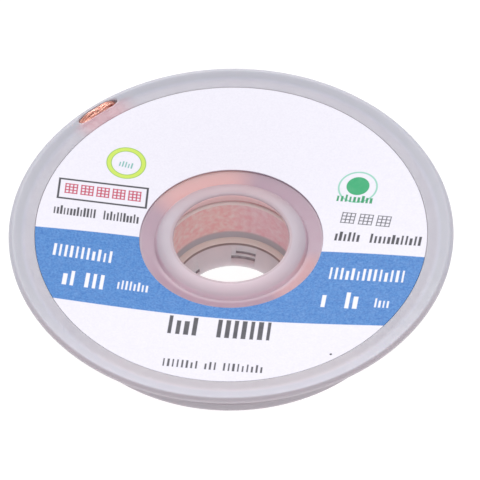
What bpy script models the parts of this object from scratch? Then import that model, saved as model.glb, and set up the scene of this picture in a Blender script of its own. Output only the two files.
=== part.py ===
"""Desoldering braid: a coil of flat copper braid held between the two moulded halves of a bobbin.

Metres, +Z up. The bobbin stands on the ring at the foot of its hub. The origin is that
ring's centre, and the braid's free end shows through a slot in the upper flange.
"""

import math

import bpy

MM = 0.001

# Turning: flats around a moulded piece and around the coil
MOULD_STEPS = 72
COIL_STEPS = 40

# Upper half: a shallow dish that carries the label, with a collar around the bore
RIM_RADIUS = 22.0 * MM
BOBBIN_HEIGHT = 11.7 * MM
UPPER_PLATE = 1.1 * MM
UPPER_SLOPE = math.radians(6.5)
RIM_BEAD_WIDTH = 1.6 * MM
RIM_BEAD_RISE = 0.28 * MM
RIM_ROUND = 0.25 * MM
RIM_CHAMFER = 0.6 * MM
MOUTH_RADIUS = 5.62 * MM
MOUTH_ROUND = 0.35 * MM
COLLAR_HEIGHT = 0.7 * MM
COLLAR_WIDTH = 1.92 * MM
MOAT_DEPTH = 0.43 * MM

# Label: a paper ring glued into a shallow seat of the dish
LABEL_TO_RIM = 2.62 * MM
LABEL_INNER_RADIUS = 9.11 * MM
LABEL_THICKNESS = 0.15 * MM
GLUE_GAP = 0.05 * MM
LABEL_MARGIN = 0.2 * MM

# Lower half: a smaller, steeper dish on the hub tube, with the ring that it stands on
LOWER_RIM_RADIUS = 18.1 * MM
LOWER_PLATE = 1.15 * MM
LOWER_SLOPE = math.radians(15.0)
LOWER_RIM_ROUND = 0.2 * MM
WINDING_GAP = 4.55 * MM
FOOT_RADIUS = 8.4 * MM
FOOT_CHAMFER = 0.25 * MM
SPINDLE_RADIUS = 5.09 * MM
SPINDLE_LEDGE_RADIUS = 5.94 * MM
LEDGE_DROP = 0.95 * MM
LEDGE_RISE = 0.9 * MM
SHELF_WIDTH = 0.56 * MM
SHELF_RISE = 0.15 * MM

# Hub tube, and the tongue that presses into the upper half
HUB_BORE_RADIUS = 6.77 * MM
HUB_WALL = 1.03 * MM
SEAM_DEPTH = 1.77 * MM
TONGUE_HEIGHT = 0.8 * MM
SEAM_GAP = 0.05 * MM

# Braid: one flat ribbon, wound turn on turn
BRAID_WIDTH = 3.0 * MM
BRAID_THICKNESS = 0.43 * MM
BRAID_TURNS = 19
TURN_GROOVE = 0.12 * MM
COIL_CLEARANCE = 0.25 * MM

# Free end: it leaves the coil, turns flat under the dish and bulges up through the slot
TAIL_START = math.radians(70.0)
SLOT_START = math.radians(122.5)
SLOT_END = math.radians(136.0)
SLOT_TO_RIM = 0.85 * MM
SLOT_WIDTH = 0.9 * MM
TAIL_FOLD = 0.5 * MM
TAIL_SINK = 0.05 * MM
TAIL_CLEARANCE = 0.3 * MM
TAIL_LEAN = 0.1 * MM
PULL_POWER = 1.6
BEND_POWER = 5
ARCH_POWER = 0.8
TAIL_ACROSS = 4
TAIL_RUN_STEPS = 16
TAIL_ARCH_STEPS = 14

# Surface of each material: colour, roughness, metallic
FROSTED_PLASTIC = ((0.60, 0.59, 0.66), 0.45, 0.0)
COPPER_BRAID = ((0.80, 0.42, 0.32), 0.35, 1.0)
LABEL_PAPER = ((0.91, 0.89, 0.97), 0.40, 0.0)

# Worked out from the sizes above, from the rim inwards
LABEL_OUTER_RADIUS = RIM_RADIUS - LABEL_TO_RIM
SLOT_RADIUS = RIM_RADIUS - SLOT_TO_RIM
HUB_OUTER_RADIUS = HUB_BORE_RADIUS + HUB_WALL
TONGUE_INNER_RADIUS = HUB_BORE_RADIUS + HUB_WALL / 2.0
COIL_INNER_RADIUS = HUB_OUTER_RADIUS + COIL_CLEARANCE
COIL_OUTER_RADIUS = COIL_INNER_RADIUS + BRAID_TURNS * BRAID_THICKNESS
BEAD_INNER_RADIUS = RIM_RADIUS - RIM_BEAD_WIDTH
SEAT_OUTER_RADIUS = LABEL_OUTER_RADIUS + LABEL_MARGIN
SEAT_INNER_RADIUS = LABEL_INNER_RADIUS - LABEL_MARGIN
STRIP_HEIGHT = BOBBIN_HEIGHT - RIM_BEAD_RISE
SEAT_OUTER_HEIGHT = STRIP_HEIGHT - LABEL_THICKNESS - GLUE_GAP


def seat_height(radius):
    """Height of the dish's upper face at a radius."""
    return SEAT_OUTER_HEIGHT - (SEAT_OUTER_RADIUS - radius) * math.tan(UPPER_SLOPE)


def dish_underside(radius):
    """Height of the dish's lower face at a radius."""
    return seat_height(radius) - UPPER_PLATE


# Heights along the hub, from the label's seat downwards
MOAT_HEIGHT = seat_height(SEAT_INNER_RADIUS) - MOAT_DEPTH
HUB_SEAM_HEIGHT = MOAT_HEIGHT - SEAM_DEPTH
SOCKET_HEIGHT = HUB_SEAM_HEIGHT + TONGUE_HEIGHT / 2.0
LOWER_HUB_TOP = SOCKET_HEIGHT - WINDING_GAP
SPINDLE_LEDGE_HEIGHT = LOWER_HUB_TOP - LEDGE_DROP


def lower_top(radius):
    """Height of the lower flange's upper face at a radius."""
    return LOWER_HUB_TOP + (radius - HUB_OUTER_RADIUS) * math.tan(LOWER_SLOPE)


def corner(centre_r, centre_z, width, height, start, end, steps=3):
    """Points of an elliptical quarter in the turning plane, angles in degrees."""
    points = []
    for i in range(steps + 1):
        angle = math.radians(start + (end - start) * i / steps)
        points.append((centre_r + width * math.cos(angle), centre_z + height * math.sin(angle)))
    return points


def material(name, surface):
    """A Principled material with one colour, roughness and metallic value."""
    colour, roughness, metallic = surface
    made = bpy.data.materials.new(name)
    made.use_nodes = True
    shader = made.node_tree.nodes["Principled BSDF"]
    shader.inputs["Base Color"].default_value = (*colour, 1.0)
    shader.inputs["Roughness"].default_value = roughness
    shader.inputs["Metallic"].default_value = metallic
    return made


def add_object(name, vertices, edges, faces):
    """A mesh object in the scene."""
    mesh = bpy.data.meshes.new(name)
    mesh.from_pydata(vertices, edges, faces)
    made = bpy.data.objects.new(name, mesh)
    bpy.context.scene.collection.objects.link(made)
    return made


def turned(name, outline, steps, surface):
    """A solid of revolution about Z. The outline runs outwards on top and inwards below."""
    count = len(outline)
    vertices = [(radius, 0.0, height) for radius, height in outline]
    edges = [(i, (i + 1) % count) for i in range(count)]
    made = add_object(name, vertices, edges, [])
    screw = made.modifiers.new("Turn", "SCREW")
    screw.axis = "Z"
    screw.angle = math.tau
    screw.steps = steps
    screw.render_steps = steps
    screw.use_merge_vertices = True
    screw.merge_threshold = 0.01 * MM
    screw.use_smooth_shade = False
    made.data.materials.append(surface)
    return made


def hide_helper(helper):
    """Mark an object as a guide for a Boolean, not a piece."""
    helper.hide_render = True
    helper.display_type = "WIRE"


def add_boolean(target, helper, operation):
    """Cut or join a helper solid, which isn't a piece itself."""
    step = target.modifiers.new(operation.title(), "BOOLEAN")
    step.operation = operation
    step.solver = "EXACT"
    step.object = helper
    hide_helper(helper)


def upper_outline():
    """Collar, moat, label seat, bead, rim, underside and the groove for the hub's tongue."""
    moat_radius = MOUTH_RADIUS + COLLAR_WIDTH
    crest_radius = MOUTH_RADIUS + MOUTH_ROUND
    crest_height = MOAT_HEIGHT + COLLAR_HEIGHT
    groove_outer = HUB_OUTER_RADIUS + SEAM_GAP
    groove_inner = TONGUE_INNER_RADIUS - SEAM_GAP
    groove_top = HUB_SEAM_HEIGHT + TONGUE_HEIGHT + SEAM_GAP
    rim_centre = (RIM_RADIUS - RIM_ROUND, BOBBIN_HEIGHT - RIM_ROUND)
    chamfer_radius = RIM_RADIUS - RIM_ROUND - RIM_CHAMFER

    outline = corner(crest_radius, crest_height - MOUTH_ROUND, MOUTH_ROUND, MOUTH_ROUND, 180, 90)
    outline += corner(crest_radius, MOAT_HEIGHT, moat_radius - crest_radius, COLLAR_HEIGHT, 70, 5)
    outline.append((moat_radius + COLLAR_HEIGHT / 4.0, MOAT_HEIGHT))
    outline.append((SEAT_INNER_RADIUS, seat_height(SEAT_INNER_RADIUS)))
    outline.append((SEAT_OUTER_RADIUS, SEAT_OUTER_HEIGHT))
    outline.append((SEAT_OUTER_RADIUS + LABEL_THICKNESS, STRIP_HEIGHT))
    outline.append((BEAD_INNER_RADIUS, STRIP_HEIGHT))
    outline += corner(*rim_centre, RIM_ROUND, RIM_ROUND, 90, 0)
    outline += corner(*rim_centre, RIM_ROUND, RIM_ROUND, -20, -40, 1)
    outline.append((chamfer_radius, dish_underside(chamfer_radius)))
    outline.append((LABEL_INNER_RADIUS, dish_underside(LABEL_INNER_RADIUS)))
    outline.append((groove_outer, SOCKET_HEIGHT))
    outline.append((groove_outer, groove_top))
    outline.append((groove_inner, groove_top))
    outline.append((groove_inner, HUB_SEAM_HEIGHT + SEAM_GAP))
    outline.append((HUB_BORE_RADIUS, HUB_SEAM_HEIGHT + SEAM_GAP))
    return outline


def lower_outline():
    """Tongue, hub tube, lower dish, foot ring, spindle hole and its ledge."""
    rim_top = lower_top(LOWER_RIM_RADIUS)
    rim_bottom = rim_top - LOWER_PLATE
    foot_top = lower_top(FOOT_RADIUS) - LOWER_PLATE
    rim_centre = LOWER_RIM_RADIUS - LOWER_RIM_ROUND

    outline = [(HUB_BORE_RADIUS, HUB_SEAM_HEIGHT)]
    outline.append((TONGUE_INNER_RADIUS, HUB_SEAM_HEIGHT))
    outline.append((TONGUE_INNER_RADIUS, HUB_SEAM_HEIGHT + TONGUE_HEIGHT))
    outline.append((HUB_OUTER_RADIUS, HUB_SEAM_HEIGHT + TONGUE_HEIGHT))
    outline.append((HUB_OUTER_RADIUS, LOWER_HUB_TOP))
    outline += corner(rim_centre, rim_top - LOWER_RIM_ROUND, LOWER_RIM_ROUND, LOWER_RIM_ROUND, 100, 0)
    outline += corner(rim_centre, rim_bottom + LOWER_RIM_ROUND, LOWER_RIM_ROUND, LOWER_RIM_ROUND, 0, -75, 2)
    outline.append((FOOT_RADIUS, foot_top))
    outline.append((FOOT_RADIUS, FOOT_CHAMFER))
    outline.append((FOOT_RADIUS - FOOT_CHAMFER, 0.0))
    outline.append((SPINDLE_RADIUS + FOOT_CHAMFER, 0.0))
    outline.append((SPINDLE_RADIUS, FOOT_CHAMFER))
    outline.append((SPINDLE_LEDGE_RADIUS, SPINDLE_LEDGE_HEIGHT))
    outline.append((SPINDLE_LEDGE_RADIUS + SHELF_WIDTH, SPINDLE_LEDGE_HEIGHT + SHELF_RISE))
    outline.append((HUB_BORE_RADIUS, SPINDLE_LEDGE_HEIGHT + LEDGE_RISE))
    return outline


def coil_bottom(radius):
    """Height of the ribbon's lower edge at a radius of the coil."""
    return lower_top(radius) + COIL_CLEARANCE


def coil_outline():
    """The coil's section: a groove between turns on both ends."""
    top = []
    bottom = []
    for turn in range(BRAID_TURNS):
        inner = COIL_INNER_RADIUS + turn * BRAID_THICKNESS
        middle = inner + BRAID_THICKNESS / 2.0
        top.append((inner, coil_bottom(inner) + BRAID_WIDTH - TURN_GROOVE))
        top.append((middle, coil_bottom(middle) + BRAID_WIDTH))
        bottom.append((inner, coil_bottom(inner) + TURN_GROOVE))
        bottom.append((middle, coil_bottom(middle)))
    outer = COIL_OUTER_RADIUS
    top.append((outer, coil_bottom(outer) + BRAID_WIDTH - TURN_GROOVE))
    bottom.append((outer, coil_bottom(outer) + TURN_GROOVE))
    return top + bottom[::-1]


def smooth(share):
    """Ease from 0 to 1 with level ends."""
    return share * share * (3.0 - 2.0 * share)


def mix(first, second, share):
    """A value between two others."""
    return first + (second - first) * share


def tail_centres(share, arch):
    """Points across the ribbon, inner edge first, as radius and height.

    At share 0 it stands upright in the coil's last turn, and at 1 it lies flat under the
    dish. At arch 1 its outer edge is bent up through the slot.
    """
    upright_radius = COIL_OUTER_RADIUS - BRAID_THICKNESS / 2.0
    upright_top = coil_bottom(upright_radius) + BRAID_WIDTH - TURN_GROOVE
    tip_radius = SLOT_RADIUS + TAIL_LEAN
    flat_top = dish_underside(tip_radius) - TAIL_CLEARANCE - BRAID_THICKNESS / 2.0
    width = BRAID_WIDTH - 2.0 * TURN_GROOVE
    lean = share * (math.pi / 2.0 - UPPER_SLOPE)
    outer = mix(upright_radius, tip_radius, share)
    top = mix(upright_top, flat_top, share)
    lift = (STRIP_HEIGHT - TAIL_SINK - top) * arch
    centres = []
    for i in range(TAIL_ACROSS + 1):
        across = i / TAIL_ACROSS
        pulled = 1.0 - (1.0 - across) ** PULL_POWER
        inner = (1.0 - mix(across, pulled, arch)) * width
        height = top - inner * math.cos(lean) + lift * across ** BEND_POWER
        centres.append((outer - inner * math.sin(lean), height))
    return centres


def ribbon_outline(centres, arch):
    """The closed section around centre points: one face outwards, then the other back."""
    outward = []
    inward = []
    last = len(centres) - 1
    for i, (radius, height) in enumerate(centres):
        before = centres[max(0, i - 1)]
        after = centres[min(last, i + 1)]
        run = after[0] - before[0]
        rise = after[1] - before[1]
        length = math.hypot(run, rise)
        half = mix(BRAID_THICKNESS, TAIL_FOLD, arch * i / last) / 2.0
        outward.append((radius + half * rise / length, height - half * run / length))
        inward.append((radius - half * rise / length, height + half * run / length))
    return outward + inward[::-1]


def tail_sections():
    """Sections of the free end, as an azimuth and an outline of radius and height."""
    sections = []
    for i in range(TAIL_RUN_STEPS):
        share = i / TAIL_RUN_STEPS
        azimuth = mix(TAIL_START, SLOT_START, share)
        sections.append((azimuth, ribbon_outline(tail_centres(smooth(share), 0.0), 0.0)))
    for i in range(TAIL_ARCH_STEPS + 1):
        share = i / TAIL_ARCH_STEPS
        arch = math.sin(math.pi * share) ** ARCH_POWER if 0 < i < TAIL_ARCH_STEPS else 0.0
        azimuth = mix(SLOT_START, SLOT_END, share)
        sections.append((azimuth, ribbon_outline(tail_centres(1.0, arch), arch)))
    return sections


def make_tail():
    """The free end as one closed ribbon, later joined to the coil."""
    vertices = []
    faces = []
    sections = tail_sections()
    count = len(sections[0][1])
    for azimuth, outline in sections:
        for radius, height in outline:
            vertices.append((radius * math.cos(azimuth), radius * math.sin(azimuth), height))
    for i in range(len(sections) - 1):
        for side in range(count):
            low = count * i + side
            high = count * i + (side + 1) % count
            faces.append((low, low + count, high + count, high))
    last = count * (len(sections) - 1)
    faces.append(tuple(range(count)))
    faces.append(tuple(range(last + count - 1, last - 1, -1)))
    return add_object("tail_guide", vertices, [], faces)


def make_slot():
    """Cutter for the slot: a bent lens, wide at the middle and pointed at both ends."""
    steps = TAIL_ARCH_STEPS
    outline = []
    for side in (-1.0, 1.0):
        for i in range(steps):
            share = (i if side < 0 else steps - i) / steps
            azimuth = SLOT_START + (SLOT_END - SLOT_START) * share
            swell = math.sqrt(max(0.0, 1.0 - (2.0 * share - 1.0) ** 4))
            radius = SLOT_RADIUS + side * swell * SLOT_WIDTH / 2.0
            outline.append((radius * math.cos(azimuth), radius * math.sin(azimuth)))
    low = dish_underside(SLOT_RADIUS) - UPPER_PLATE
    high = BOBBIN_HEIGHT + UPPER_PLATE
    count = len(outline)
    vertices = [(x, y, low) for x, y in outline] + [(x, y, high) for x, y in outline]
    faces = [tuple(range(count)), tuple(range(2 * count - 1, count - 1, -1))]
    for i in range(count):
        after = (i + 1) % count
        faces.append((i, count + i, count + after, after))
    return add_object("slot_guide", vertices, [], faces)


def label_outline():
    """A flat paper ring that follows the seat's slope."""
    outline = []
    for lift in (GLUE_GAP + LABEL_THICKNESS, GLUE_GAP):
        edge = [(radius, seat_height(radius) + lift) for radius in (LABEL_INNER_RADIUS, LABEL_OUTER_RADIUS)]
        outline += edge if not outline else edge[::-1]
    return outline


def main():
    """Build the four pieces."""
    for old in list(bpy.data.objects):
        bpy.data.objects.remove(old, do_unlink=True)

    plastic = material("frosted_plastic", FROSTED_PLASTIC)
    copper = material("copper_braid", COPPER_BRAID)
    paper = material("label_paper", LABEL_PAPER)

    turned("lower_flange", lower_outline(), MOULD_STEPS, plastic)
    upper = turned("upper_flange", upper_outline(), MOULD_STEPS, plastic)
    add_boolean(upper, make_slot(), "DIFFERENCE")
    braid = turned("braid", coil_outline(), COIL_STEPS, copper)
    add_boolean(braid, make_tail(), "UNION")
    turned("label", label_outline(), MOULD_STEPS, paper)


main()
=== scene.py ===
"""Desoldering braid on its bobbin: the looks of the object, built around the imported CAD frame.

Shapes are worked out in millimetres, in the frame of the CAD, and add_mesh turns them
into metres. Angles around the bobbin are counted from +X, counterclockwise from above.
"""

import math

import bpy
import numpy as np
from mathutils import Matrix, Vector

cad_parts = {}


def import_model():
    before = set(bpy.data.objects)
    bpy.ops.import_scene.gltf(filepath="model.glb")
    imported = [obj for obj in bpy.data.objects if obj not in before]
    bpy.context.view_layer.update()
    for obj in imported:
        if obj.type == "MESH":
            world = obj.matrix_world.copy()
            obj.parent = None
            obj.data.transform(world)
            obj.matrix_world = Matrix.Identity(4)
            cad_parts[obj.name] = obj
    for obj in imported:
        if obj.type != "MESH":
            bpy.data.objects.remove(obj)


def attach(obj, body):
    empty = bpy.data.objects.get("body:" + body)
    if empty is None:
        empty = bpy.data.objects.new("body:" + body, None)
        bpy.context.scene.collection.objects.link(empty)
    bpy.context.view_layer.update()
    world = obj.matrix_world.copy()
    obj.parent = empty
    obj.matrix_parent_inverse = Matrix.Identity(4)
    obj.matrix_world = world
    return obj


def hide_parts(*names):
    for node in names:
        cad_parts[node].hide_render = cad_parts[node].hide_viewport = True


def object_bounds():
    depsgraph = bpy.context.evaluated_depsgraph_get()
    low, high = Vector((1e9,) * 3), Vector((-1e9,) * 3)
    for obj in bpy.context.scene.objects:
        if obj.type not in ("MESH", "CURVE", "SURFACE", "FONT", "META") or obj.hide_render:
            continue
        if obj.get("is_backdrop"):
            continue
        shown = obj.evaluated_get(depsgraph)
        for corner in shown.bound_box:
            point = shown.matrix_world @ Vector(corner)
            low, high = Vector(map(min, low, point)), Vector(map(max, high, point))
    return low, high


MM = 0.001

# Bobbin, upper half
RIM_RADIUS = 22.0
BOBBIN_HEIGHT = 11.7
UPPER_PLATE = 1.1
UPPER_SLOPE = math.tan(math.radians(6.5))
BEAD_WIDTH = 1.6
BEAD_RISE = 0.28
BEAD_INNER_RADIUS = RIM_RADIUS - BEAD_WIDTH
CREST_RADIUS = RIM_RADIUS - 0.38
UNDERSIDE_EDGE_RADIUS = RIM_RADIUS - 0.85
STRIP_HEIGHT = BOBBIN_HEIGHT - BEAD_RISE
MOUTH_RADIUS = 5.62
MOUTH_ROUND = 0.35
COLLAR_HEIGHT = 0.7
COLLAR_WIDTH = 1.92
COLLAR_POWER = 0.78
MOAT_DEPTH = 0.43

# Label and its seat, which is a little wider and as deep as the label and its glue
LABEL_OUTER_RADIUS = RIM_RADIUS - 2.62
LABEL_INNER_RADIUS = 9.11
LABEL_MARGIN = 0.2
LABEL_TURN = math.radians(7.9)
LABEL_BOTTOM = 0.06
LABEL_TOP = 0.2
SEAT_DEPTH = 0.2
SEAT_OUTER_RADIUS = LABEL_OUTER_RADIUS + LABEL_MARGIN
SEAT_INNER_RADIUS = LABEL_INNER_RADIUS - LABEL_MARGIN
SEAT_OUTER_HEIGHT = STRIP_HEIGHT - SEAT_DEPTH

# Bobbin, lower half
LOWER_RIM_RADIUS = 18.1
LOWER_PLATE = 1.15
LOWER_SLOPE = math.tan(math.radians(15.0))
LOWER_HUB_TOP = 3.654
HUB_BORE_RADIUS = 6.77
HUB_WALL = 1.03
HUB_OUTER_RADIUS = HUB_BORE_RADIUS + HUB_WALL
HUB_SEAM_HEIGHT = 7.804
TONGUE_INNER_RADIUS = HUB_BORE_RADIUS + HUB_WALL / 2.0
TONGUE_HEIGHT = 0.8
SEAM_GAP = 0.05
FOOT_RADIUS = 8.4
SPINDLE_RADIUS = 5.09
LEDGE_RADIUS = 5.94
LEDGE_HEIGHT = LOWER_HUB_TOP - 0.95
LEDGE_RISE = 0.9
SHELF_WIDTH = 0.56
SHELF_RISE = 0.15
BORE_SLOPE = (LEDGE_RADIUS - SPINDLE_RADIUS) / LEDGE_HEIGHT
MARK_DEPTH = 0.08

# Braid: its size without the weave's relief, and its coil
BRAID_WIDTH = 2.76
BRAID_THICKNESS = 0.43
BRAID_TURNS = 19
COIL_INNER_RADIUS = HUB_OUTER_RADIUS + 0.25
COIL_CLEARANCE = 0.37
INNER_GROWTH = 0.24

# Free end, and the slot in the rim that it comes up through
TAIL_START = math.radians(70.0)
SLOT_START = math.radians(122.5)
SLOT_END = math.radians(136.0)
TAIL_END = math.radians(138.0)
SLOT_RADIUS = RIM_RADIUS - 0.85
SLOT_WIDTH = 0.88
TAIL_FOLD = 0.5
TAIL_LEAN = 0.1
TAIL_SINK = 0.05
TAIL_CLEARANCE = 0.3
ARCH_RISE = 0.55
ARCH_POWER = 0.8
PULL_POWER = 1.6
BEND_POWER = 5

# Weave of the braid: bundles of fine wires that spiral both ways round a flattened tube
CARRIERS = 16
WIRES = 5
WIRE_PITCH = 0.105
WIRE_DIAMETER = 0.1
WEAVE_LENGTH = 7.4
WEAVE_RISE = 0.05

# Cords of wire that fill the slot
CORDS = 12
CORD_WIRES = 4
CORD_RADIUS = 0.062
CORD_TWIST = 3.2

TURNING_STEPS = 256


def seat_height(radius):
    """Height of the label's seat at a radius."""
    return SEAT_OUTER_HEIGHT - (SEAT_OUTER_RADIUS - radius) * UPPER_SLOPE


def dish_underside(radius):
    """Height of the upper dish's lower face at a radius."""
    return seat_height(radius) - UPPER_PLATE


def lower_top(radius):
    """Height of the lower dish's upper face at a radius."""
    return LOWER_HUB_TOP + (radius - HUB_OUTER_RADIUS) * LOWER_SLOPE


def mix(first, second, share):
    """A value between two others."""
    return first + (second - first) * share


def smooth(share):
    """Ease from 0 to 1 with level ends."""
    return share * share * (3.0 - 2.0 * share)


# Meshes


def add_mesh(name, points, faces, surface):
    """A smooth-shaded mesh object from points in millimetres."""
    mesh = bpy.data.meshes.new(name)
    mesh.from_pydata((np.asarray(points, float) * MM).tolist(), [], faces)
    mesh.shade_smooth()
    made = bpy.data.objects.new(name, mesh)
    bpy.context.scene.collection.objects.link(made)
    if surface:
        mesh.materials.append(surface)
    return made


def rounded(corners, steps=5):
    """Points of a closed outline whose corners are (radius, height, rounding)."""
    points = []
    count = len(corners)
    for i, (radius, height, rounding) in enumerate(corners):
        here = Vector((radius, height))
        if rounding <= 0.0:
            points.append((radius, height))
            continue
        before = (Vector(corners[i - 1][:2]) - here).normalized()
        after = (Vector(corners[(i + 1) % count][:2]) - here).normalized()
        half = before.angle(after) / 2.0
        start = here + before * (rounding / math.tan(half))
        centre = here + (before + after).normalized() * (rounding / math.sin(half))
        spoke = start - centre
        sweep_angle = (math.pi - 2.0 * half) * (1.0 if before.cross(after) < 0.0 else -1.0)
        for k in range(steps + 1):
            spun = Matrix.Rotation(sweep_angle * k / steps, 2) @ spoke
            points.append(tuple(centre + spun))
    return points


def turned(name, outline, surface):
    """A solid of revolution about Z."""
    angles = np.arange(TURNING_STEPS) * (math.tau / TURNING_STEPS)
    outline = np.array(outline)
    count = len(outline)
    rings = np.empty((TURNING_STEPS, count, 3))
    rings[:, :, 0] = np.cos(angles)[:, None] * outline[:, 0]
    rings[:, :, 1] = np.sin(angles)[:, None] * outline[:, 0]
    rings[:, :, 2] = outline[:, 1]
    faces = []
    for i in range(TURNING_STEPS):
        here = i * count
        there = (i + 1) % TURNING_STEPS * count
        for k in range(count):
            after = (k + 1) % count
            faces.append((here + k, here + after, there + after, there + k))
    return add_mesh(name, rings.reshape(-1, 3), faces, surface)


def even_shading(piece):
    """Keep broad faces flat beside their small roundings."""
    piece.modifiers.new("Even shading", "WEIGHTED_NORMAL").weight = 80


def carve(piece, cutter):
    """Cut a helper solid out of a piece and remove the helper."""
    step = piece.modifiers.new("Carve", "BOOLEAN")
    step.operation = "DIFFERENCE"
    step.solver = "EXACT"
    step.object = cutter
    carved = bpy.data.meshes.new_from_object(piece.evaluated_get(bpy.context.evaluated_depsgraph_get()))
    piece.modifiers.remove(step)
    piece.data = carved
    bpy.data.objects.remove(cutter)


# Bobbin


def upper_outline():
    """Mouth, collar, moat, label seat, bead, rim, underside and the groove for the hub's tongue."""
    moat_height = seat_height(SEAT_INNER_RADIUS) - MOAT_DEPTH
    crest = MOUTH_RADIUS + MOUTH_ROUND
    collar_run = COLLAR_WIDTH - MOUTH_ROUND
    seat_wall = LABEL_OUTER_RADIUS + 0.02
    groove_outer = HUB_OUTER_RADIUS + SEAM_GAP
    groove_inner = TONGUE_INNER_RADIUS - SEAM_GAP
    groove_top = HUB_SEAM_HEIGHT + TONGUE_HEIGHT + SEAM_GAP
    seam = HUB_SEAM_HEIGHT + SEAM_GAP
    boss_height = HUB_SEAM_HEIGHT + 0.4

    corners = [(MOUTH_RADIUS, moat_height + COLLAR_HEIGHT, 0.16)]
    for degrees in range(82, 0, -12):
        turn = math.radians(degrees)
        out, up = math.cos(turn) ** COLLAR_POWER, math.sin(turn) ** COLLAR_POWER
        corners.append((crest + collar_run * out, moat_height + COLLAR_HEIGHT * up, 0.0))
    corners += [
        (MOUTH_RADIUS + COLLAR_WIDTH + 0.1, moat_height, 0.12),
        (SEAT_INNER_RADIUS, seat_height(SEAT_INNER_RADIUS), 0.1),
        (seat_wall, SEAT_OUTER_HEIGHT, 0.0),
        (seat_wall, STRIP_HEIGHT - 0.05, 0.0),
        (LABEL_OUTER_RADIUS + 0.08, STRIP_HEIGHT, 0.04),
        (BEAD_INNER_RADIUS, STRIP_HEIGHT, 2.5),
        (CREST_RADIUS, BOBBIN_HEIGHT, 0.55),
        (RIM_RADIUS, BOBBIN_HEIGHT - 0.22, 0.2),
        (RIM_RADIUS - 0.04, BOBBIN_HEIGHT - 0.5, 0.03),
        (UNDERSIDE_EDGE_RADIUS, dish_underside(UNDERSIDE_EDGE_RADIUS), 0.3),
        (LABEL_INNER_RADIUS, dish_underside(LABEL_INNER_RADIUS), 0.3),
        (groove_outer, boss_height, 0.05),
        (groove_outer, groove_top, 0.03),
        (groove_inner, groove_top, 0.03),
        (groove_inner, seam, 0.05),
        (HUB_BORE_RADIUS + 0.2, seam, 0.05),
    ]
    return rounded(corners)


def lower_outline():
    """Tongue, hub tube, lower dish, foot ring, spindle hole and its ledge."""
    rim_top = lower_top(LOWER_RIM_RADIUS)
    corners = [
        (HUB_BORE_RADIUS - 0.04, HUB_SEAM_HEIGHT, 0.22),
        (TONGUE_INNER_RADIUS, HUB_SEAM_HEIGHT, 0.03),
        (TONGUE_INNER_RADIUS, HUB_SEAM_HEIGHT + TONGUE_HEIGHT, 0.08),
        (HUB_OUTER_RADIUS, HUB_SEAM_HEIGHT + TONGUE_HEIGHT, 0.08),
        (HUB_OUTER_RADIUS, LOWER_HUB_TOP, 0.15),
        (LOWER_RIM_RADIUS, rim_top, 0.2),
        (LOWER_RIM_RADIUS, rim_top - LOWER_PLATE, 0.25),
        (FOOT_RADIUS, lower_top(FOOT_RADIUS) - LOWER_PLATE, 0.3),
        (FOOT_RADIUS, 0.0, 0.2),
        (SPINDLE_RADIUS, 0.0, 0.08),
        (LEDGE_RADIUS, LEDGE_HEIGHT, 0.05),
        (LEDGE_RADIUS + SHELF_WIDTH, LEDGE_HEIGHT + SHELF_RISE, 0.08),
        (HUB_BORE_RADIUS, LEDGE_HEIGHT + LEDGE_RISE, 0.12),
    ]
    return rounded(corners)


def lens(share):
    """Half width of the slot, as a part of its greatest, with share from 0 at one end to 1."""
    return np.sqrt(np.clip(1.0 - (2.0 * share - 1.0) ** 4, 0.0, 1.0))


def slot_cutter():
    """A bent lens with a flared top, which gives the slot's upper edge a small bevel."""
    steps = 40
    bevel = 0.05
    wide = bevel * 1.3
    bottom = dish_underside(SLOT_RADIUS) - 1.0
    top = BOBBIN_HEIGHT + 0.1
    loop = []
    for i in range(steps):
        loop.append((i / steps, -lens(i / steps)))
    for i in range(steps, 0, -1):
        loop.append((i / steps, lens(i / steps)))
    levels = (
        (0.0, lambda surface: bottom),
        (0.0, lambda surface: surface - bevel),
        (wide, lambda surface: surface + bevel * 0.3),
        (wide, lambda surface: top),
    )
    points = []
    for flare, height_at in levels:
        for share, swell in loop:
            angle = mix(SLOT_START, SLOT_END, share) + flare / SLOT_RADIUS * (2.0 * share - 1.0)
            radius = SLOT_RADIUS + swell * SLOT_WIDTH / 2.0 + flare * swell
            rise = (radius - BEAD_INNER_RADIUS) / (CREST_RADIUS - BEAD_INNER_RADIUS) * BEAD_RISE
            height = height_at(STRIP_HEIGHT + rise)
            points.append((radius * math.cos(angle), radius * math.sin(angle), height))
    count = len(loop)
    faces = [tuple(range(count)), tuple(range(4 * count - 1, 3 * count - 1, -1))]
    for k in range(len(levels) - 1):
        here = k * count
        there = here + count
        for i in range(count):
            after = (i + 1) % count
            faces.append((here + i, there + i, there + after, here + after))
    return add_mesh("slot_cutter", points, faces, None)


def engraving(azimuth, width, height, middle):
    """Cutter for a short shallow mark in the wall of the spindle hole."""
    inside = -0.3
    half = width / 2.0 / SPINDLE_RADIUS
    section = ((-0.5, MARK_DEPTH), (-0.5, inside), (0.5, inside), (0.5, MARK_DEPTH))
    points = []
    for share in (-1.0, -0.33, 0.33, 1.0):
        angle = azimuth + half * share
        for lift, depth in section:
            level = middle + lift * height
            radius = SPINDLE_RADIUS + BORE_SLOPE * level + depth
            points.append((radius * math.cos(angle), radius * math.sin(angle), level))
    faces = [(3, 2, 1, 0), (12, 13, 14, 15)]
    for i in range(3):
        for k in range(4):
            after = (k + 1) % 4
            faces.append((4 * i + k, 4 * i + after, 4 * (i + 1) + after, 4 * (i + 1) + k))
    return add_mesh("engraving", points, faces, None)


# Braid


def turn_radius(angle):
    """Radius of the ribbon's middle at an unwound angle, up to the start of its free end."""
    outer = COIL_INNER_RADIUS + BRAID_TURNS * BRAID_THICKNESS - BRAID_THICKNESS / 2.0
    return outer - BRAID_THICKNESS * (TAIL_START - angle) / math.tau


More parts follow.
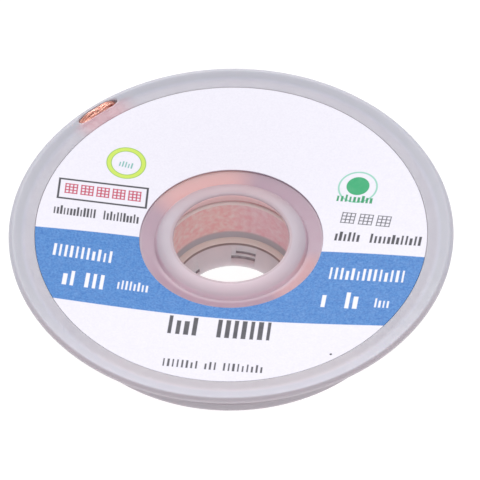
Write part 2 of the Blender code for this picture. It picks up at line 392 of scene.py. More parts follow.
def ribbon_section(angle, across):
    """Radius and height of the ribbon's middle, with across from its lower edge (0) to its upper (1).

    Past TAIL_START the ribbon leans outwards until it lies flat under the dish, and
    its outer edge arches up through the slot.
    """
    run = np.clip((angle - TAIL_START) / (SLOT_START - TAIL_START), 0.0, 1.0)
    share = smooth(run)
    inside = np.clip((angle - SLOT_START) / (SLOT_END - SLOT_START), 0.0, 1.0)
    arch = ARCH_RISE * np.sin(np.pi * inside) ** ARCH_POWER
    upright = turn_radius(np.minimum(angle, TAIL_START))
    upright_top = lower_top(upright) + COIL_CLEARANCE + BRAID_WIDTH
    tip = SLOT_RADIUS + TAIL_LEAN
    flat_top = dish_underside(tip) - TAIL_CLEARANCE - BRAID_THICKNESS / 2.0
    lean = share * (math.pi / 2.0 - math.atan(UPPER_SLOPE))
    outer = mix(upright, tip, share)
    top = mix(upright_top, flat_top, share)
    lift = (STRIP_HEIGHT - TAIL_SINK - top) * arch
    pulled = 1.0 - np.maximum(1.0 - across, 0.0) ** PULL_POWER
    inner = (1.0 - mix(across, pulled, arch)) * BRAID_WIDTH
    height = top - inner * np.cos(lean) + lift * np.maximum(across, 0.0) ** BEND_POWER
    return outer - inner * np.sin(lean), height, arch


def ribbon_point(angle, across, lift):
    """A point on or off the ribbon, lift millimetres out from its middle surface."""
    step = 0.01
    radius, height, arch = ribbon_section(angle, across)
    radius_after, height_after, _ = ribbon_section(angle, np.minimum(across + step, 1.0))
    radius_before, height_before, _ = ribbon_section(angle, np.maximum(across - step, 0.0))
    run = radius_after - radius_before
    rise = height_after - height_before
    length = np.hypot(run, rise)
    swell = 1.0 + (TAIL_FOLD / BRAID_THICKNESS - 1.0) * arch * across
    radius = radius + lift * swell * rise / length
    height = height - lift * swell * run / length
    return np.stack([radius * np.cos(angle), radius * np.sin(angle), height], axis=-1)


def tube_point(angle, round_share, lift):
    """A point on the flattened tube of the braid. round_share runs once round its section."""
    core = BRAID_THICKNESS / 2.0 - WEAVE_RISE - WIRE_DIAMETER / 2.0
    flat = BRAID_WIDTH - 2.0 * core
    length = 2.0 * flat + math.tau * core
    along = np.mod(round_share, 1.0) * length
    turn_length = math.pi * core
    first = np.clip(along, 0.0, flat)
    first_turn = np.clip(along - flat, 0.0, turn_length) / core
    second = np.clip(along - flat - turn_length, 0.0, flat)
    second_turn = np.clip(along - 2.0 * flat - turn_length, 0.0, turn_length) / core
    heading = first_turn + second_turn
    across = first - second - flat / 2.0 + np.sin(heading) * (core + lift)
    out = np.cos(heading) * (core + lift)
    return ribbon_point(angle, across / BRAID_WIDTH + 0.5, out)


def arc_length(angles):
    """Length along the ribbon at each angle."""
    radius, _, _ = ribbon_section(angles, np.full_like(angles, 0.5))
    steps = np.diff(angles) * (radius[1:] + radius[:-1]) / 2.0
    return np.concatenate([[0.0], np.cumsum(steps)])


def carrier(index, angles, lengths):
    """Path, side and outward directions of one bundle of the weave, and where it is round the tube."""
    way = 1.0 if index % 2 == 0 else -1.0
    number = index // 2
    half = CARRIERS // 2
    crossing = CARRIERS * lengths / WEAVE_LENGTH
    share = (number + (0.0 if way > 0 else 0.5)) / half + way * lengths / WEAVE_LENGTH
    over = np.cos(math.pi / 2.0 * (crossing + 2.0 * number) - math.pi / 4.0)
    over = np.clip(over * 1.5, -1.0, 1.0) * way
    # A slight wander keeps the bundles uneven
    wobble = np.sin(lengths * 2.3 + index * 1.7) + 0.6 * np.sin(lengths * 5.1 + index * 2.9)
    rise = over * WEAVE_RISE
    path = tube_point(angles, share + wobble * 0.02, rise)
    outer = tube_point(angles, share + wobble * 0.02, rise + 0.02)
    out = outer - path
    out /= np.linalg.norm(out, axis=1, keepdims=True)
    along = np.gradient(path, axis=0)
    along /= np.linalg.norm(along, axis=1, keepdims=True)
    side = np.cross(out, along)
    side /= np.linalg.norm(side, axis=1, keepdims=True)
    return path, side, out, share


class Strands:
    """Strands of one section, gathered into one mesh."""

    def __init__(self, profile):
        self.profile = profile
        self.points = []
        self.faces = []
        self.start = 0

    def add(self, path, side, out):
        """A closed strand: the section's (side, out) offsets carried along a path."""
        count = len(self.profile)
        steps = len(path)
        points = np.empty((steps, count, 3))
        for k, (sideways, outwards) in enumerate(self.profile):
            points[:, k] = path + side * sideways + out * outwards
        for i in range(steps - 1):
            here = self.start + i * count
            there = here + count
            for k in range(count):
                after = (k + 1) % count
                self.faces.append((here + k, here + after, there + after, there + k))
        last = self.start + (steps - 1) * count
        self.faces.append(tuple(range(self.start + count - 1, self.start - 1, -1)))
        self.faces.append(tuple(range(last, last + count)))
        self.points.append(points.reshape(-1, 3))
        self.start = last + count

    def build(self, name, surface):
        """The mesh object of all the strands."""
        return add_mesh(name, np.concatenate(self.points), self.faces, surface)


def bundle_profile():
    """Section of a bundle of wires as one strip, with a crown for each wire on its outer face."""
    half = WIRES * WIRE_PITCH / 2.0
    profile = [(-half, -WIRE_DIAMETER / 2.0), (half, -WIRE_DIAMETER / 2.0)]
    for i in range(2 * WIRES, -1, -1):
        sideways = (i / (2.0 * WIRES) * 2.0 - 1.0) * half
        crown = WIRE_DIAMETER / 2.0 if i % 2 else WIRE_DIAMETER * 0.08
        profile.append((sideways, crown))
    return profile


def wire_profile():
    """Section of one wire."""
    sides = 5
    radius = WIRE_DIAMETER / 2.0
    turns = [math.tau * i / sides for i in range(sides)]
    return [(radius * math.cos(turn), radius * math.sin(turn)) for turn in turns]


def outer_turn(surface):
    """The coil's last turn, woven. The face that lies against the coil has fewer steps."""
    angles = np.linspace(TAIL_START - math.tau, TAIL_START + 0.01, 650)
    lengths = arc_length(angles)
    strands = Strands(bundle_profile())
    inward_start, inward_end = 0.56, 0.94
    for index in range(CARRIERS):
        path, side, out, share = carrier(index, angles, lengths)
        round_share = np.mod(share, 1.0)
        hidden = (round_share > inward_start) & (round_share < inward_end)
        kept = ~hidden | (np.arange(len(angles)) % 4 == 0)
        kept[[0, -1]] = True
        strands.add(path[kept], side[kept], out[kept])
    return strands.build("outer_turn", surface)


def free_end(surface):
    """The braid's free end, wire by wire, from the coil to just past the slot."""
    angles = np.linspace(TAIL_START - math.tau, TAIL_END, 900)
    lengths = arc_length(angles)
    wanted = angles > TAIL_START - 0.01
    inside = np.clip((angles - SLOT_START) / (SLOT_END - SLOT_START), 0.0, 1.0)
    loose = 0.05 * np.sin(np.pi * inside)
    strands = Strands(wire_profile())
    for index in range(CARRIERS):
        path, side, out, _ = carrier(index, angles, lengths)
        for wire in range(WIRES):
            offset = (wire - (WIRES - 1) / 2.0) * WIRE_PITCH
            phase = index * 2.1 + wire * 1.3
            stray = loose * np.sin(lengths * 3.1 + phase)
            lift = loose * np.sin(lengths * 4.3 + phase * 1.7)
            line = path + side * (offset + stray)[:, None] + out * lift[:, None]
            strands.add(line[wanted], side[wanted], out[wanted])
    return strands.build("free_end", surface)


def slot_strands(surface):
    """The cords of wire that bulge up through the slot, crossing as they run along it."""
    share = np.linspace(-0.04, 1.04, 90)
    angle = mix(SLOT_START, SLOT_END, share)
    inside = np.sin(np.pi * np.clip(share, 0.0, 1.0))
    middle_height = mix(dish_underside(SLOT_RADIUS) - 0.3, STRIP_HEIGHT - 0.04, inside**0.2)
    waist = 1.0 - 0.25 * np.exp(-(((share - 0.5) / 0.13) ** 2))
    half_width = mix(0.1, SLOT_WIDTH / 2.0 - 0.1, lens(share)) * waist
    strands = Strands(wire_profile())
    for index in range(CORDS):
        way = 1.0 if index % 2 == 0 else -1.0
        first_turn = math.tau * (index // 2) / (CORDS / 2.0)
        turn = first_turn + way * CORD_TWIST * share + 0.15 * np.sin(7.0 * share + index)
        radius = SLOT_RADIUS + half_width * np.cos(turn)
        height = middle_height + 0.14 * np.sin(turn) + 0.05 * way * np.cos(2.0 * turn + index)
        height += 0.35 * inside**0.3 * (radius - SLOT_RADIUS)
        path = np.stack([radius * np.cos(angle), radius * np.sin(angle), height], axis=-1)
        along = np.gradient(path, axis=0)
        along /= np.linalg.norm(along, axis=1, keepdims=True)
        side = np.cross(np.array([0.0, 0.0, 1.0]), along)
        side /= np.linalg.norm(side, axis=1, keepdims=True)
        out = np.cross(along, side)
        for wire in range(CORD_WIRES):
            spin = math.tau * wire / CORD_WIRES + 3.0 * share + index
            offset = side * np.cos(spin)[:, None] + out * np.sin(spin)[:, None]
            strands.add(path + CORD_RADIUS * offset, side, out)
    return strands.build("slot_strands", surface)


def inner_turns(surface):
    """The turns inside the last one, as one wound ribbon with slightly uneven edges."""
    steps = 120 * (BRAID_TURNS - 2)
    angles = np.linspace(TAIL_START - math.tau * (BRAID_TURNS - 1), TAIL_START - math.tau, steps + 1)
    radius = turn_radius(angles)
    thickness = BRAID_THICKNESS - 0.04
    width = BRAID_WIDTH + INNER_GROWTH
    base = lower_top(radius) + COIL_CLEARANCE - INNER_GROWTH / 2.0
    wander = 0.05 * np.sin(angles * 1.37) + 0.04 * np.sin(angles * 3.19 + 1.0)
    inner_side = [(-0.5, 0.06), (-0.5, 0.94), (-0.2, 1.0)]
    outer_side = [(0.2, 1.0), (0.5, 0.94), (0.5, 0.06), (0.2, 0.0)]
    profile = inner_side + outer_side + [(-0.2, 0.0)]
    count = len(profile)
    points = np.empty((steps + 1, count, 3))
    for k, (out, up) in enumerate(profile):
        reach = radius + out * thickness
        points[:, k, 0] = reach * np.cos(angles)
        points[:, k, 1] = reach * np.sin(angles)
        points[:, k, 2] = base + width * up + wander
    faces = []
    for i in range(steps):
        here = i * count
        there = here + count
        for k in range(count):
            after = (k + 1) % count
            faces.append((here + k, there + k, there + after, here + after))
    faces.append(tuple(range(count)))
    faces.append(tuple(range(steps * count + count - 1, steps * count - 1, -1)))
    made = add_mesh("inner_turns", points.reshape(-1, 3), faces, surface)

    layer = made.data.uv_layers.new(name="weave")
    length = np.concatenate([[0.0], np.cumsum(np.diff(angles) * radius[1:])])
    ups = np.array([up for _, up in profile]) * width
    loops = np.empty(len(made.data.loops), int)
    made.data.loops.foreach_get("vertex_index", loops)
    uv = np.stack([length[loops // count], ups[loops % count]], axis=-1)
    layer.data.foreach_set("uv", uv.astype(np.float32).ravel())
    return made


# Materials


class Surface:
    """A Principled material, with short calls for the nodes that feed it."""

    def __init__(self, name):
        self.material = bpy.data.materials.new(name)
        self.material.use_nodes = True
        self.tree = self.material.node_tree
        self.shader = self.tree.nodes["Principled BSDF"]

    def put(self, socket, value):
        """Link a socket to a socket, or set a plain value."""
        if isinstance(value, bpy.types.NodeSocket):
            self.tree.links.new(value, socket)
        else:
            socket.default_value = value

    def add(self, kind, inputs=None, **settings):
        """A node with its settings and inputs."""
        node = self.tree.nodes.new(kind)
        for key, value in settings.items():
            setattr(node, key, value)
        for key, value in (inputs or {}).items():
            self.put(node.inputs[key], value)
        return node

    def calc(self, operation, first, second=0.0, third=0.0, clamp=False):
        """One step of arithmetic."""
        node = self.add("ShaderNodeMath", operation=operation, use_clamp=clamp)
        for socket, value in zip(node.inputs, (first, second, third)):
            self.put(socket, value)
        return node.outputs[0]

    def blend(self, factor, first, second):
        """A colour between two colours."""
        node = self.add("ShaderNodeMix", data_type="RGBA")
        for index, value in ((0, factor), (6, first), (7, second)):
            self.put(node.inputs[index], value)
        return node.outputs[2]

    def noise(self, vector, scale, detail=3.0):
        """Soft noise from 0 to 1."""
        inputs = {"Vector": vector, "Scale": scale, "Detail": detail}
        return self.add("ShaderNodeTexNoise", inputs).outputs["Fac"]

    def spread(self, value, low, high, start=0.3, end=0.7):
        """A value's range stretched to another range."""
        inputs = {"Value": value, "From Min": start, "From Max": end, "To Min": low, "To Max": high}
        return self.add("ShaderNodeMapRange", inputs).outputs["Result"]

    def step(self, value, start, end):
        """0 before start, 1 past end, eased between."""
        inputs = {"Value": value, "From Min": start, "From Max": end}
        node = self.add("ShaderNodeMapRange", inputs, interpolation_type="SMOOTHSTEP")
        return node.outputs["Result"]

    def place(self, turn=0.0):
        """Coordinates in millimetres, turned about Z."""
        where = self.add("ShaderNodeTexCoord").outputs["Object"]
        inputs = {"Vector": where, "Scale": (1.0 / MM,) * 3, "Rotation": (0.0, 0.0, turn)}
        return self.add("ShaderNodeMapping", inputs).outputs["Vector"]

    def bump(self, height, strength, distance):
        """Fine relief on the surface. distance is in metres."""
        inputs = {"Height": height, "Strength": strength, "Distance": distance}
        self.put(self.shader.inputs["Normal"], self.add("ShaderNodeBump", inputs).outputs["Normal"])

    def set(self, **values):
        """Plain values on the shader's own sockets."""
        for key, value in values.items():
            self.put(self.shader.inputs[key.replace("_", " ")], value)


def colour(red, green, blue):
    """A display colour of 0 to 255 as linear light."""
    parts = []
    for value in (red, green, blue):
        share = value / 255.0
        parts.append(share / 12.92 if share <= 0.04045 else ((share + 0.055) / 1.055) ** 2.4)
    return (*parts, 1.0)


class Spot:
    """Where a point of the bobbin lies, in millimetres and radians, for its tints."""

    def __init__(self, made):
        self.where = made.place()
        parts = made.add("ShaderNodeSeparateXYZ", {"Vector": self.where})
        across, self.deep, self.height = parts.outputs["X"], parts.outputs["Y"], parts.outputs["Z"]
        squares = made.calc("MULTIPLY_ADD", across, across, made.calc("MULTIPLY", self.deep, self.deep))
        self.radius = made.calc("SQRT", squares)
        self.angle = made.calc("ARCTAN2", self.deep, across)
        self.haze = made.spread(made.noise(self.where, 0.35), 0.0, 1.0)
        self.on_top = made.step(self.height, 9.0, 9.3)


def rim_tint(made, spot):
    """Plastic with nothing close behind it: the strip, the bead, and the rims' sides and undersides. The
    strip and bead carry painted light at the front, the bead painted shade at the back, and the rims'
    sides, undersides and front edge painted shade.
    """
    bead = made.step(spot.radius, BEAD_INNER_RADIUS, BEAD_INNER_RADIUS + 0.5)
    # Painted light and shade on the bead: lighter towards the front, darker at the back.
    bead_front_light = made.step(spot.deep, -6.0, -18.0)
    bead_light_and_shade = made.blend(bead_front_light, colour(198, 198, 208), colour(212, 210, 221))
    low = made.step(spot.height, 11.5, 11.35)
    # Painted shade: plastic low on the rims, outside a radius of 17 mm, is darker.
    under = made.calc("MULTIPLY", low, made.step(spot.radius, 17.0, 17.6))
    edge = made.step(spot.radius, 21.5, 21.75)
    # Painted shade on the rim's outer edge at the front.
    front_edge_shade = made.calc("MULTIPLY", edge, made.step(spot.deep, -4.0, -14.0))

    tint = made.blend(spot.haze, colour(206, 206, 221), colour(216, 215, 229))
    # Painted light: the strip is lighter towards the front.
    tint = made.blend(made.step(spot.deep, -12.0, -18.0), tint, colour(226, 218, 227))
    tint = made.blend(bead, tint, bead_light_and_shade)
    # Painted shade on the rims' sides and undersides.
    tint = made.blend(under, tint, colour(186, 179, 187))
    return made.blend(front_edge_shade, tint, colour(193, 186, 194))


def over_coil(made, spot, tint):
    """Pink where the coil lies behind the plastic, in patches, with painted shade in the darker patch at
    the front, and a paler collar at the front that is painted light.
    """
    coil_tint_and_shade = colour(204, 178, 193)
    for azimuth, start, end, patch in (
        # The darker patch at the front is painted shade.
        (-95.0, 0.2, 0.9, colour(187, 153, 171)),
        (112.0, 0.72, 0.97, colour(242, 198, 198)),
        (-38.0, 0.88, 0.98, colour(216, 170, 176)),
    ):
        turned_to = made.calc("COSINE", made.calc("SUBTRACT", spot.angle, math.radians(azimuth)))
        coil_tint_and_shade = made.blend(made.step(turned_to, start, end), coil_tint_and_shade, patch)
    mottle = made.spread(made.noise(spot.where, 0.3), 0.0, 1.0)
    below_tint = made.blend(mottle, colour(208, 182, 190), colour(220, 186, 188))
    coil_tint_and_shade = made.blend(spot.on_top, below_tint, coil_tint_and_shade)
    past_foot = made.step(spot.radius, FOOT_RADIUS, FOOT_RADIUS + 0.5)
    past_foot = made.calc("MAXIMUM", past_foot, spot.on_top)
    coil = made.calc("MULTIPLY", past_foot, made.step(spot.radius, 17.4, 16.0))
    tint = made.blend(coil, tint, coil_tint_and_shade)
    # Painted light: the collar is paler at the front.
    collar = made.calc("MULTIPLY", made.step(spot.radius, 8.3, 7.6), made.step(spot.deep, -1.0, -6.0))
    return made.blend(made.calc("MULTIPLY", collar, spot.on_top), tint, colour(234, 212, 223))


def over_tail(made, spot, tint):
    """Streaky pink on the strip beside the slot, where the free end lies under the dish."""
    start = made.step(spot.angle, SLOT_START - 0.1, SLOT_START + 0.06)
    end = made.step(spot.angle, TAIL_END + 0.04, SLOT_END - 0.04)
    inner_side = made.step(spot.radius, 17.0, 18.0)
    outer_side = made.step(spot.radius, SLOT_RADIUS, SLOT_RADIUS - 0.5)
    band = made.calc("MULTIPLY", made.calc("MULTIPLY", inner_side, outer_side), spot.on_top)
    tail = made.calc("MULTIPLY", made.calc("MULTIPLY", start, end), made.calc("MULTIPLY", band, 0.9))
    streaks = made.spread(made.noise(spot.where, 1.1, 4.0), 0.0, 1.0)
    return made.blend(tail, tint, made.blend(streaks, colour(202, 154, 166), colour(222, 184, 193)))


def in_bore(made, spot, tint):
    """Bands up the bore's wall: spindle hole with its sunk marks, shelf, tube before the coil, mouth.
    Painted shade darkens the marks, the line under the shelf, the steep face above it and the seam;
    painted light brightens the shelf and the seam's edge; the collar ring is lighter at the front and
    darker at the back.
    """
    speck = made.spread(made.noise(spot.where, 1.8, 4.0), 0.0, 1.0)
    right = made.step(made.calc("COSINE", made.calc("SUBTRACT", spot.angle, 0.6)), 0.4, 0.95)
    left_wall = made.blend(speck, colour(250, 188, 188), colour(255, 226, 222))
    right_wall = made.blend(speck, colour(242, 194, 204), colour(252, 224, 230))
    wall = made.blend(right, left_wall, right_wall)
    # Painted shade for the band above the seam, darker on the right.
    groove = made.blend(right, colour(244, 192, 196), colour(216, 128, 140))
    bore = made.blend(spot.haze, colour(219, 216, 221), colour(229, 223, 227))
    # Painted shade inside the sunk marks.
    sunk = made.calc("SUBTRACT", spot.radius, made.calc("MULTIPLY", spot.height, BORE_SLOPE))
    sunk = made.step(sunk, SPINDLE_RADIUS + 0.03, SPINDLE_RADIUS + MARK_DEPTH)
    bore = made.blend(sunk, bore, colour(158, 148, 156))
    for start, end, next_colour in (
        # Painted shade just under the shelf's inner edge.
        (2.4, 2.5, colour(150, 134, 134)),
        # Painted light on the shelf, which faces up.
        (2.66, 2.72, colour(243, 240, 234)),
        # Painted shade on the steep face above the shelf.
        (2.86, 2.98, colour(195, 197, 203)),
        (3.4, 3.72, wall),
        # Painted highlight on the seam's edge.
        (7.5, 7.6, colour(255, 236, 234)),
        # Painted shade above the seam.
        (7.82, 7.86, groove),
        (8.1, 8.3, colour(255, 221, 223)),
        (10.06, 10.16, colour(194, 176, 185)),
    ):
        bore = made.blend(made.step(spot.height, start, end), bore, next_colour)
    ring = made.calc("MULTIPLY", made.step(spot.height, 9.6, 9.9), made.step(spot.radius, 5.95, 6.15))
    # Painted light and shade on the collar ring: lighter at the front, darker at the back.
    ring_light_and_shade = made.blend(made.step(spot.deep, 2.0, 7.0), colour(200, 188, 199), colour(197, 172, 180))
    ring_light_and_shade = made.blend(made.step(spot.deep, -1.0, -6.5), ring_light_and_shade, colour(220, 202, 212))
    bore = made.blend(ring, bore, ring_light_and_shade)
    return made.blend(made.step(spot.radius, 7.5, 7.3), tint, bore)


def frosted_plastic():
    """Milky moulded plastic, tinted where the copper lies close behind it, with painted light and shade
    in places.
    """
    made = Surface("frosted_plastic")
    spot = Spot(made)
    tint = rim_tint(made, spot)
    tint = over_coil(made, spot, tint)
    tint = over_tail(made, spot, tint)
    tint = in_bore(made, spot, tint)
    made.put(made.shader.inputs["Base Color"], tint)
    made.put(made.shader.inputs["Roughness"], made.spread(made.noise(spot.where, 1.6), 0.38, 0.48))
    made.set(Transmission_Weight=0.12, IOR=1.49, Subsurface_Weight=1.0, Subsurface_Scale=0.0008)
    made.set(Subsurface_Radius=(1.0, 0.9, 0.9))
    made.bump(made.noise(spot.where, 9.0, 2.0), 0.15, 0.00004)
    return made.material


def copper(name):
    """Bright drawn copper wire, a little uneven in colour."""
    made = Surface(name)
    where = made.place()
    patch = made.spread(made.noise(where, 2.4), 0.0, 1.0)
    tone = made.blend(patch, colour(246, 176, 160), colour(254, 210, 194))
    made.put(made.shader.inputs["Base Color"], tone)
    made.put(made.shader.inputs["Roughness"], made.spread(made.noise(where, 6.0), 0.22, 0.4))
    made.set(Metallic=1.0)
    return made.material


def wound_copper():
    """Copper with the weave's crossing bundles as relief and shade, on the hidden inner turns."""
    made = Surface("wound_copper")
    uv = made.add("ShaderNodeUVMap", uv_map="weave").outputs["UV"]
    parts = made.add("ShaderNodeSeparateXYZ", {"Vector": uv})
    along, across = parts.outputs["X"], parts.outputs["Y"]
    pitch = WEAVE_LENGTH / (CARRIERS / 2.0)
    slant = 1.28
    rows = []
    for way in (slant, -slant):
        slanted = made.calc("MULTIPLY_ADD", across, way, along)
        rows.append(made.calc("SINE", made.calc("MULTIPLY", slanted, math.tau / pitch)))
    weave = made.calc("MULTIPLY", rows[0], rows[1])
    height = made.calc("MULTIPLY_ADD", weave, 0.5, 0.5)
    patch = made.noise(made.place(), 0.9)
    shade = made.calc("MULTIPLY_ADD", height, 0.6, made.spread(patch, 0.0, 0.4))
    tone = made.blend(shade, colour(206, 128, 112), colour(252, 204, 186))
    made.put(made.shader.inputs["Base Color"], tone)
    made.set(Metallic=1.0, Roughness=0.38)
    made.bump(height, 0.9, 0.00008)
    return made.material


class Print:
    """Ink on the label: each mark is laid over the colours before it. SOFT is the width of its edge."""

    SOFT = 0.07

    def __init__(self, surface, paper):
        self.surface = surface
        self.ink = paper
        where = surface.place(LABEL_TURN)
        parts = surface.add("ShaderNodeSeparateXYZ", {"Vector": where})
        self.across, self.up = parts.outputs["X"], parts.outputs["Y"]

    def local(self, centre, tilt):
        """Coordinates around a mark's centre, turned with it."""
        calc = self.surface.calc
        side = calc("SUBTRACT", self.across, centre[0])
        rise = calc("SUBTRACT", self.up, centre[1])
        cosine, sine = math.cos(math.radians(tilt)), math.sin(math.radians(tilt))
        along = calc("MULTIPLY_ADD", rise, sine, calc("MULTIPLY", side, cosine))
        upright = calc("MULTIPLY_ADD", side, -sine, calc("MULTIPLY", rise, cosine))
        return along, upright

    def inside(self, distance):
        """Mask of a distance: 1 inside, with a soft edge."""
        return self.surface.calc("MULTIPLY_ADD", distance, -1.0 / self.SOFT, 0.5, clamp=True)

    def lay(self, mask, ink):
        """Put ink where the mask is."""
        self.ink = self.surface.blend(mask, self.ink, ink)

    def cells(self, along, length, pitch):
        """Number of the cell that a point of a row is in, and its distance from the cell's middle."""
        calc = self.surface.calc
        placed = calc("DIVIDE", calc("ADD", along, length / 2.0), pitch)
        inner = calc("MULTIPLY", calc("SUBTRACT", calc("FRACT", placed), 0.5), pitch)
        return calc("FLOOR", placed), inner

    def ticks(self, centre, size, pitch, ink, tilt=1.0, weight=0.45, breaks=(), short=0.6):
        """A row of plain upright ticks with breaks, like the marks of a scale.

        weight is a tick's mean share of its cell, and short is the share of ticks that are low.
        """
        calc = self.surface.calc
        along, upright = self.local(centre, tilt)
        number, inner = self.cells(along, size[0], pitch)
        seed = calc("ADD", number, 10.0 * centre[1])
        chance = self.surface.add("ShaderNodeTexWhiteNoise", {"W": seed}, noise_dimensions="1D")
        draws = self.surface.add("ShaderNodeSeparateColor", {"Color": chance.outputs["Color"]})
        wide = calc("MULTIPLY", calc("MULTIPLY_ADD", draws.outputs[0], 0.5, 0.75), pitch * weight / 2.0)
        drop = calc("MULTIPLY", calc("LESS_THAN", draws.outputs[1], short), size[1] * 0.12)
        tall = calc("SUBTRACT", size[1] / 2.0, drop)
        side = calc("SUBTRACT", calc("ABSOLUTE", inner), wide)
        rise = calc("SUBTRACT", calc("ABSOLUTE", calc("ADD", upright, drop)), tall)
        mask = self.inside(calc("MAXIMUM", side, rise))
        middle = calc("SUBTRACT", along, inner)
        for place in breaks:
            away = calc("ABSOLUTE", calc("SUBTRACT", middle, place))
            mask = calc("MULTIPLY", calc("GREATER_THAN", away, pitch * 0.75), mask)
        ends = self.inside(calc("SUBTRACT", calc("ABSOLUTE", along), size[0] / 2.0))
        self.lay(calc("MULTIPLY", mask, ends), ink)

    def hatching(self, centre, size, count, line, ink, tilt):
        """A row of small squares, each hatched both ways with four lines."""
        lines = 4
        calc = self.surface.calc
        along, upright = self.local(centre, tilt)
        _, inner = self.cells(along, size[0], size[0] / count)
        farther = calc("MAXIMUM", calc("ABSOLUTE", inner), calc("ABSOLUTE", upright))
        edge = calc("SUBTRACT", farther, size[1] / 2.0)
        spacing = (size[1] - line) / (lines - 1)
        distances = []
        for value in (inner, upright):
            share = calc("FRACT", calc("ADD", calc("DIVIDE", value, spacing), 0.5 * lines))
            away = calc("MULTIPLY", calc("ABSOLUTE", calc("SUBTRACT", share, 0.5)), spacing)
            distances.append(calc("SUBTRACT", away, line / 2.0))
        mask = calc("MULTIPLY", self.inside(calc("MINIMUM", *distances)), self.inside(edge))
        ends = calc("LESS_THAN", calc("ABSOLUTE", along), size[0] / 2.0)
        self.lay(calc("MULTIPLY", mask, ends), ink)

    def outline(self, edge, line, ink):
        """A line just inside the edge, which is a distance."""
        calc = self.surface.calc
        middle = calc("ABSOLUTE", calc("ADD", edge, line / 2.0))
        self.lay(self.inside(calc("SUBTRACT", middle, line / 2.0)), ink)

    def frame(self, centre, size, line, ink, tilt):
        """A plain outlined box."""
        calc = self.surface.calc
        along, upright = self.local(centre, tilt)
        side = calc("SUBTRACT", calc("ABSOLUTE", along), size[0] / 2.0)
        rise = calc("SUBTRACT", calc("ABSOLUTE", upright), size[1] / 2.0)
        self.outline(calc("MAXIMUM", side, rise), line, ink)

    def ring(self, centre, radius, line, ink):
        """A plain ring, or a disc when line is twice the radius."""
        calc = self.surface.calc
        along, upright = self.local(centre, 0.0)
        far = calc("SQRT", calc("MULTIPLY_ADD", along, along, calc("MULTIPLY", upright, upright)))
        self.outline(calc("SUBTRACT", far, radius), line, ink)


def blue_band(work, made, where):
    """A blue band across the label, with a lightly bowed upper edge."""
    grain = made.spread(made.noise(where, 5.0, 2.0), 0.0, 1.0)
    blue = made.blend(grain, colour(42, 112, 190), colour(80, 144, 213))
    lean = made.calc("MULTIPLY_ADD", work.across, 0.009, -0.673)
    squared = made.calc("MULTIPLY", work.across, work.across)
    top_line = made.calc("MULTIPLY_ADD", squared, -0.0024, lean)
    foot_line = made.calc("MULTIPLY_ADD", work.across, 0.004, -10.68)
    below_top = work.inside(made.calc("SUBTRACT", work.up, top_line))
    above_foot = work.inside(made.calc("SUBTRACT", foot_line, work.up))
    work.lay(made.calc("MULTIPLY", below_top, above_foot), blue)


def plain_marks(work):
    """Rings, a frame, hatched squares and rows of ticks. Centres and sizes are in millimetres."""
    dark = colour(58, 57, 66)
    grey = colour(74, 73, 82)
    small_grey = colour(72, 71, 80)
    white = colour(244, 243, 252)
    green = colour(30, 154, 100)

    # Two round marks, above the band
    work.ring((-11.65, 8.2), 2.0, 0.54, colour(140, 190, 70))
    work.ring((-11.65, 8.2), 1.92, 0.38, colour(206, 232, 92))
    work.ticks((-11.65, 8.0), (1.5, 0.7), 0.3, colour(120, 186, 178), tilt=-6.0)
    work.ring((11.8, 7.6), 2.0, 0.18, colour(150, 212, 192))
    work.ring((11.8, 7.75), 1.15, 2.3, colour(36, 170, 112))
    work.ticks((11.6, 6.12), (3.7, 0.9), 0.42, green, tilt=-4.4, weight=0.6)

    # Squares and small ticks, above the band
    work.frame((-13.4, 3.94), (9.0, 2.7), 0.21, dark, 2.8)
    work.hatching((-13.4, 4.03), (7.9, 1.3), 5, 0.14, colour(196, 58, 92), 2.8)
    work.ticks((-13.65, 1.12), (8.6, 1.15), 0.33, dark, tilt=2.5, weight=0.55, breaks=(0.3,))
    work.hatching((13.05, 3.45), (5.4, 1.4), 3, 0.11, colour(84, 84, 92), -6.0)
    work.ticks((14.5, 0.98), (8.8, 1.2), 0.44, dark, tilt=-4.1, weight=0.55, breaks=(-1.4,))

    # White ticks on the band, left of the hole and right of it
    work.ticks((-14.2, -4.25), (6.05, 1.55), 0.55, white, weight=0.42, short=0.2)
    work.ticks((-13.6, -7.75), (4.35, 1.95), 0.725, white, weight=0.5, breaks=(-0.2,), short=0.2)
    work.ticks((-8.75, -7.65), (3.2, 1.2), 0.4, white)
    work.ticks((13.9, -3.85), (7.7, 1.55), 0.55, white, tilt=-2.6, weight=0.42, short=0.2)
    work.ticks((11.6, -7.3), (3.9, 2.15), 0.78, white, tilt=-2.0, weight=0.5, breaks=(-0.4,), short=0.2)
    work.ticks((15.75, -7.6), (1.6, 1.2), 0.4, white, tilt=-2.4)

    # Large and small ticks and a speck, below the band
    work.ticks((0.4, -12.1), (10.4, 2.5), 0.8, grey, weight=0.5, breaks=(-1.35,), short=0.2)
    work.ticks((0.4, -17.35), (9.9, 1.05), 0.45, small_grey, weight=0.42, breaks=(-1.2, 0.7), short=0.2)
    work.ring((11.54, -14.71), 0.12, 0.24, dark)


def printed_paper():
    """Coated white paper with a blue band and plain marks."""
    made = Surface("label_paper")
    where = made.place()
    fibre = made.spread(made.noise(where, 5.0), 0.0, 1.0)
    paper = made.blend(fibre, colour(236, 233, 245), colour(242, 239, 250))
    work = Print(made, paper)
    blue_band(work, made, where)
    plain_marks(work)
    made.put(made.shader.inputs["Base Color"], work.ink)
    made.put(made.shader.inputs["Roughness"], made.spread(made.noise(where, 2.2), 0.38, 0.5))
    made.set(Specular_IOR_Level=0.3)
    made.bump(made.noise(where, 3.2, 4.0), 0.08, 0.00003)
    return made.material


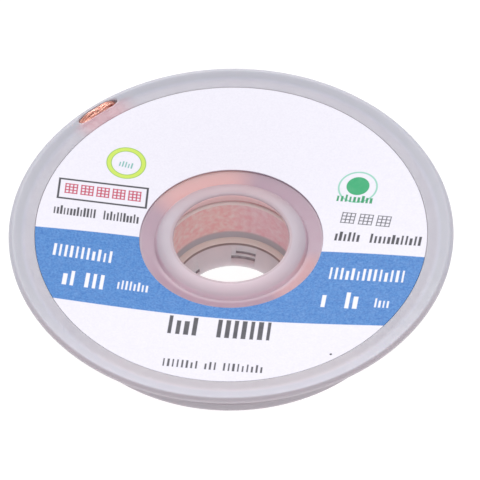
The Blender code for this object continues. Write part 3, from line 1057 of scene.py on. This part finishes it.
def floor_material():
    """Plain pale floor that lights itself a little."""
    made = Surface("floor_paper")
    made.set(Base_Color=(0.22, 0.22, 0.22, 1.0), Roughness=0.8, Specular_IOR_Level=0.0)
    made.set(Emission_Color=(1.0, 1.0, 1.0, 1.0), Emission_Strength=0.9)
    return made.material


# Studio


def add_camera():
    """A long lens at the photograph's viewing angle, for a picture of 480 by 480."""
    picture = 480.0
    sensor = 36.0
    focal = 4125.0
    distance = 407.4
    elevation = math.radians(48.61)
    roll = math.radians(-1.02)
    seen_at = (231.2, 227.6)
    right = Vector((1.0, 0.0, 0.0))
    up = Vector((0.0, math.sin(elevation), math.cos(elevation)))
    back = Vector((0.0, -math.cos(elevation), math.sin(elevation)))
    target = Vector((0.0, 0.0, BOBBIN_HEIGHT))
    aside = (seen_at[0] - picture / 2.0) / focal * distance
    above = (picture / 2.0 - seen_at[1]) / focal * distance
    place = target + back * distance - right * aside - up * above

    data = bpy.data.cameras.new("camera")
    data.sensor_width = sensor
    data.lens = sensor * focal / picture
    data.clip_start = 0.01
    data.clip_end = 10.0
    camera = bpy.data.objects.new("camera", data)
    turn = Matrix((right, up, back)).transposed() @ Matrix.Rotation(roll, 3, "Z")
    camera.matrix_world = Matrix.Translation(place * MM) @ turn.to_4x4()
    bpy.context.scene.collection.objects.link(camera)
    bpy.context.scene.camera = camera


def add_light(name, place, size, power):
    """A large square lamp that faces the bobbin."""
    data = bpy.data.lights.new(name, "AREA")
    data.size = size
    data.energy = power
    lamp = bpy.data.objects.new(name, data)
    place = Vector(place)
    lamp.matrix_world = Matrix.Translation(place) @ place.to_track_quat("Z", "Y").to_matrix().to_4x4()
    bpy.context.scene.collection.objects.link(lamp)


def add_studio():
    """Floor, world and lamps. Places of lamps are in metres."""
    reach = 1500.0
    level = -0.01
    corners = ((-1, -1), (1, -1), (1, 1), (-1, 1))
    points = [(side * reach, depth * reach, level) for side, depth in corners]
    add_mesh("floor", points, [(0, 1, 2, 3)], floor_material())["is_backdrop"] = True
    world = bpy.data.worlds.new("studio")
    world.use_nodes = True
    sky = world.node_tree.nodes["Background"]
    sky.inputs["Color"].default_value = (1.0, 1.0, 1.0, 1.0)
    sky.inputs["Strength"].default_value = 0.61
    bpy.context.scene.world = world
    add_light("key", (-0.05, 0.5, 0.5), 0.4, 2.6)
    add_light("fill", (0.1, -0.5, 0.45), 0.5, 0.7)
    bpy.context.scene.view_settings.view_transform = "Standard"


def paper_label():
    """The label: a thin ring that follows the slope of its seat."""
    inner_seat = seat_height(LABEL_INNER_RADIUS)
    outer_seat = seat_height(LABEL_OUTER_RADIUS)
    outline = [
        (LABEL_INNER_RADIUS, inner_seat + LABEL_TOP, 0.03),
        (LABEL_OUTER_RADIUS, outer_seat + LABEL_TOP, 0.03),
        (LABEL_OUTER_RADIUS, outer_seat + LABEL_BOTTOM, 0.0),
        (LABEL_INNER_RADIUS, inner_seat + LABEL_BOTTOM, 0.0),
    ]
    return turned("paper_label", rounded(outline, 3), printed_paper())


def main():
    """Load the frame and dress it."""
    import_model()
    cad_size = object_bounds()

    plastic = frosted_plastic()
    bright = copper("copper_wire")
    wound = wound_copper()

    upper = turned("upper_dish", upper_outline(), plastic)
    carve(upper, slot_cutter())
    even_shading(upper)
    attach(upper, "root")
    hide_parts("upper_flange")

    lower = turned("lower_dish", lower_outline(), plastic)
    carve(lower, engraving(math.radians(75.0), width=1.85, height=0.3, middle=1.66))
    carve(lower, engraving(math.radians(77.5), width=2.3, height=0.36, middle=1.1))
    carve(lower, engraving(math.radians(131.0), width=0.5, height=0.34, middle=0.6))
    even_shading(lower)
    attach(lower, "root")
    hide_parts("lower_flange")

    for made in (inner_turns(wound), outer_turn(bright), free_end(bright), slot_strands(bright)):
        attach(made, "root")
        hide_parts("braid")

    label = paper_label()
    even_shading(label)
    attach(label, "root")
    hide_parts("label")

    add_studio()
    add_camera()

    for name, corners in (("cad", cad_size), ("visual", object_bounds())):
        [list(corner) for corner in corners]


main()
